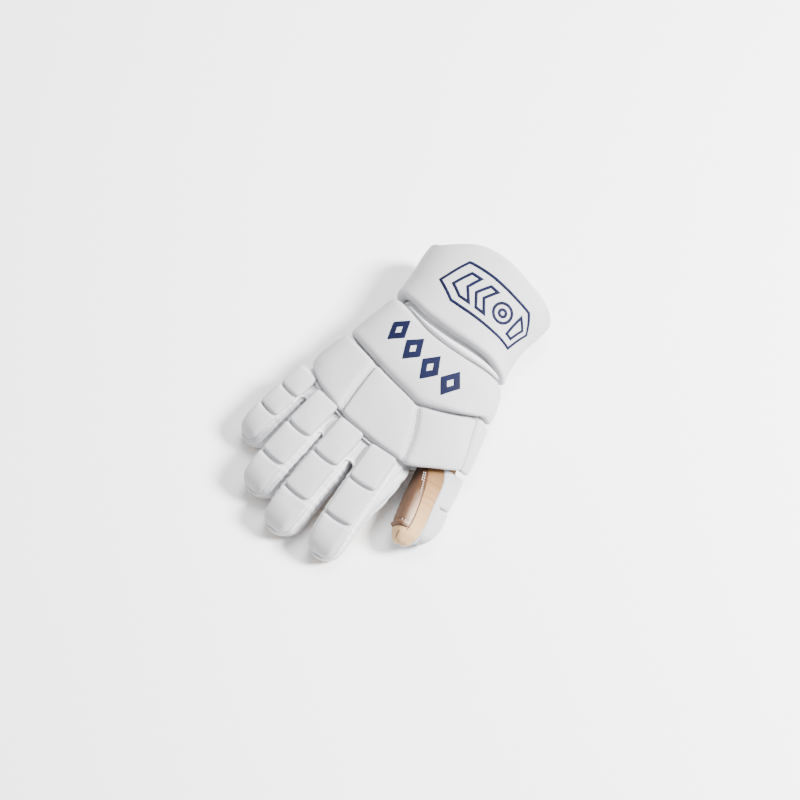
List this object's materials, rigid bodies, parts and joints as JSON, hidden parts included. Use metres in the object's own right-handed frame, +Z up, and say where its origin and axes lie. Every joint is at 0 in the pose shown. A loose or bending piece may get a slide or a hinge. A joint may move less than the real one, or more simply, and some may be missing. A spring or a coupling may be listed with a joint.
{
  "type": "ice hockey glove",
  "caption": "Right-hand padded sports glove: segmented finger and thumb pads, backhand panels, wrist roll, flared hinged cuff, leather palm, open hand and finger cavities.",
  "frame": {"origin": "under the centre of the glove's bounding box, on the surface it lies on palm down", "axes": "+Z up through the back of the hand, -Y towards the fingertips, +Y out of the cuff, +X towards the thumb"},
  "size_m": [0.2224, 0.3482, 0.0867],
  "materials": {
    "pad_fabric": "white woven nylon over the pads",
    "side_fabric": "white knit on the sides of the fingers and in the wrist strip",
    "lining": "pale brushed lining",
    "foam": "closed-cell foam, hidden inside the pads",
    "palm_leather": "beige suede",
    "leather_patch": "darker brown suede overlay",
    "plastic_insert": "moulded sheet, hidden inside the cuff and thumb"
  },
  "bodies": {
    "hand": {"palm_leather": "palm_leather", "palm_heel_pad": "leather_patch", "hand_liner": "lining", "pinky_side_panel_cover": "pad_fabric", "pinky_side_panel_foam": "foam", "centre_panel_cover": "pad_fabric", "centre_panel_foam": "foam", "thumb_side_panel_cover": "pad_fabric", "thumb_side_panel_foam": "foam", "thumb_edge_boxing_cover": "pad_fabric", "thumb_edge_boxing_foam": "foam"},
    "knuckle_row": {"pinky_base_pad_cover": "pad_fabric", "pinky_base_pad_foam": "foam", "ring_base_pad_cover": "pad_fabric", "ring_base_pad_foam": "foam", "middle_base_pad_cover": "pad_fabric", "middle_base_pad_foam": "foam", "index_base_pad_cover": "pad_fabric", "index_base_pad_foam": "foam", "knuckle_row_sleeve": "side_fabric"},
    "pinky_middle": {"pinky_middle_pad_cover": "pad_fabric", "pinky_middle_pad_foam": "foam", "pinky_middle_sleeve": "side_fabric"},
    "pinky_tip": {"pinky_tip_pad_cover": "pad_fabric", "pinky_tip_pad_foam": "foam", "pinky_tip_sleeve": "side_fabric"},
    "ring_middle": {"ring_middle_pad_cover": "pad_fabric", "ring_middle_pad_foam": "foam", "ring_middle_sleeve": "side_fabric"},
    "ring_tip": {"ring_tip_pad_cover": "pad_fabric", "ring_tip_pad_foam": "foam", "ring_tip_sleeve": "side_fabric"},
    "middle_middle": {"middle_middle_pad_cover": "pad_fabric", "middle_middle_pad_foam": "foam", "middle_middle_sleeve": "side_fabric"},
    "middle_tip": {"middle_tip_pad_cover": "pad_fabric", "middle_tip_pad_foam": "foam", "middle_tip_sleeve": "side_fabric"},
    "index_middle": {"index_middle_pad_cover": "pad_fabric", "index_middle_pad_foam": "foam", "index_middle_sleeve": "side_fabric"},
    "index_tip": {"index_tip_pad_cover": "pad_fabric", "index_tip_pad_foam": "foam", "index_tip_sleeve": "side_fabric"},
    "thumb_base": {"thumb_base_sleeve": "side_fabric", "thumb_base_pad_cover": "pad_fabric", "thumb_splint": "plastic_insert", "thumb_base_pad_foam": "foam"},
    "thumb_tip": {"thumb_tip_sleeve": "side_fabric", "thumb_tip_pad_cover": "pad_fabric", "thumb_tip_pad_foam": "foam", "thumb_leather": "palm_leather"},
    "wrist_roll": {"wrist_roll_cover": "pad_fabric", "wrist_roll_foam": "foam", "wrist_flex_strip": "side_fabric"},
    "cuff": {"cuff_cover": "pad_fabric", "cuff_shield": "plastic_insert", "cuff_foam": "foam", "cuff_lining": "lining"}
  },
  "joints": [
    {"name": "knuckle_bend", "type": "hinge", "parent": "hand", "child": "knuckle_row", "pos_m": [-0.08788, -0.02994, 0.029], "axis": [0.9832, -0.1725, 0.0604], "range_deg": [-2, 45]},
    {"name": "pinky_middle_bend", "type": "hinge", "parent": "knuckle_row", "child": "pinky_middle", "pos_m": [-0.08917, -0.05676, 0.02609], "axis": [0.9684, -0.1956, 0.1545], "range_deg": [0, 60]},
    {"name": "pinky_tip_bend", "type": "hinge", "parent": "pinky_middle", "child": "pinky_tip", "pos_m": [-0.09329, -0.08176, 0.02026], "axis": [0.9684, -0.1956, 0.1545], "range_deg": [0, 36]},
    {"name": "ring_middle_bend", "type": "hinge", "parent": "knuckle_row", "child": "ring_middle", "pos_m": [-0.05464, -0.08345, 0.03043], "axis": [0.9957, -0.0769, 0.0518], "range_deg": [0, 60]},
    {"name": "ring_tip_bend", "type": "hinge", "parent": "ring_middle", "child": "ring_tip", "pos_m": [-0.05693, -0.11846, 0.02234], "axis": [0.9957, -0.0769, 0.0518], "range_deg": [0, 36]},
    {"name": "middle_middle_bend", "type": "hinge", "parent": "knuckle_row", "child": "middle_middle", "pos_m": [-0.01557, -0.09104, 0.03193], "axis": [0.9998, -0.0175, 0], "range_deg": [0, 60]},
    {"name": "middle_tip_bend", "type": "hinge", "parent": "middle_middle", "child": "middle_tip", "pos_m": [-0.01629, -0.13196, 0.02249], "axis": [0.9998, -0.0175, 0], "range_deg": [0, 36]},
    {"name": "index_middle_bend", "type": "hinge", "parent": "knuckle_row", "child": "index_middle", "pos_m": [0.02831, -0.08894, 0.03145], "axis": [0.9952, 0.0919, -0.0346], "range_deg": [0, 60]},
    {"name": "index_tip_bend", "type": "hinge", "parent": "index_middle", "child": "index_tip", "pos_m": [0.03151, -0.12681, 0.02268], "axis": [0.9952, 0.0919, -0.0346], "range_deg": [0, 36]},
    {"name": "thumb_base_bend", "type": "hinge", "parent": "hand", "child": "thumb_base", "pos_m": [0.07062, -0.02944, 0.0246], "axis": [0.9659, 0.2588, 0], "range_deg": [-6, 10]},
    {"name": "thumb_tip_bend", "type": "hinge", "parent": "thumb_base", "child": "thumb_tip", "pos_m": [0.07915, -0.06127, 0.02287], "axis": [-0.4205, -0.0636, -0.9051], "range_deg": [0, 20]},
    {"name": "wrist_roll_bend", "type": "hinge", "parent": "hand", "child": "wrist_roll", "pos_m": [-0.02188, 0.02306, 0.028], "axis": [-1, 0, 0], "range_deg": [-3, 9]},
    {"name": "cuff_bend", "type": "hinge", "parent": "wrist_roll", "child": "cuff", "pos_m": [-0.02188, 0.07906, 0.028], "axis": [-1, 0, 0], "range_deg": [-6, 18]}
  ],
  "couplings": [
    {"joint": "pinky_tip_bend", "follows": "pinky_middle_bend", "ratio": 0.6},
    {"joint": "ring_tip_bend", "follows": "ring_middle_bend", "ratio": 0.6},
    {"joint": "middle_tip_bend", "follows": "middle_middle_bend", "ratio": 0.6},
    {"joint": "index_tip_bend", "follows": "index_middle_bend", "ratio": 0.6},
    {"joint": "wrist_roll_bend", "follows": "cuff_bend", "ratio": 0.5}
  ]
}
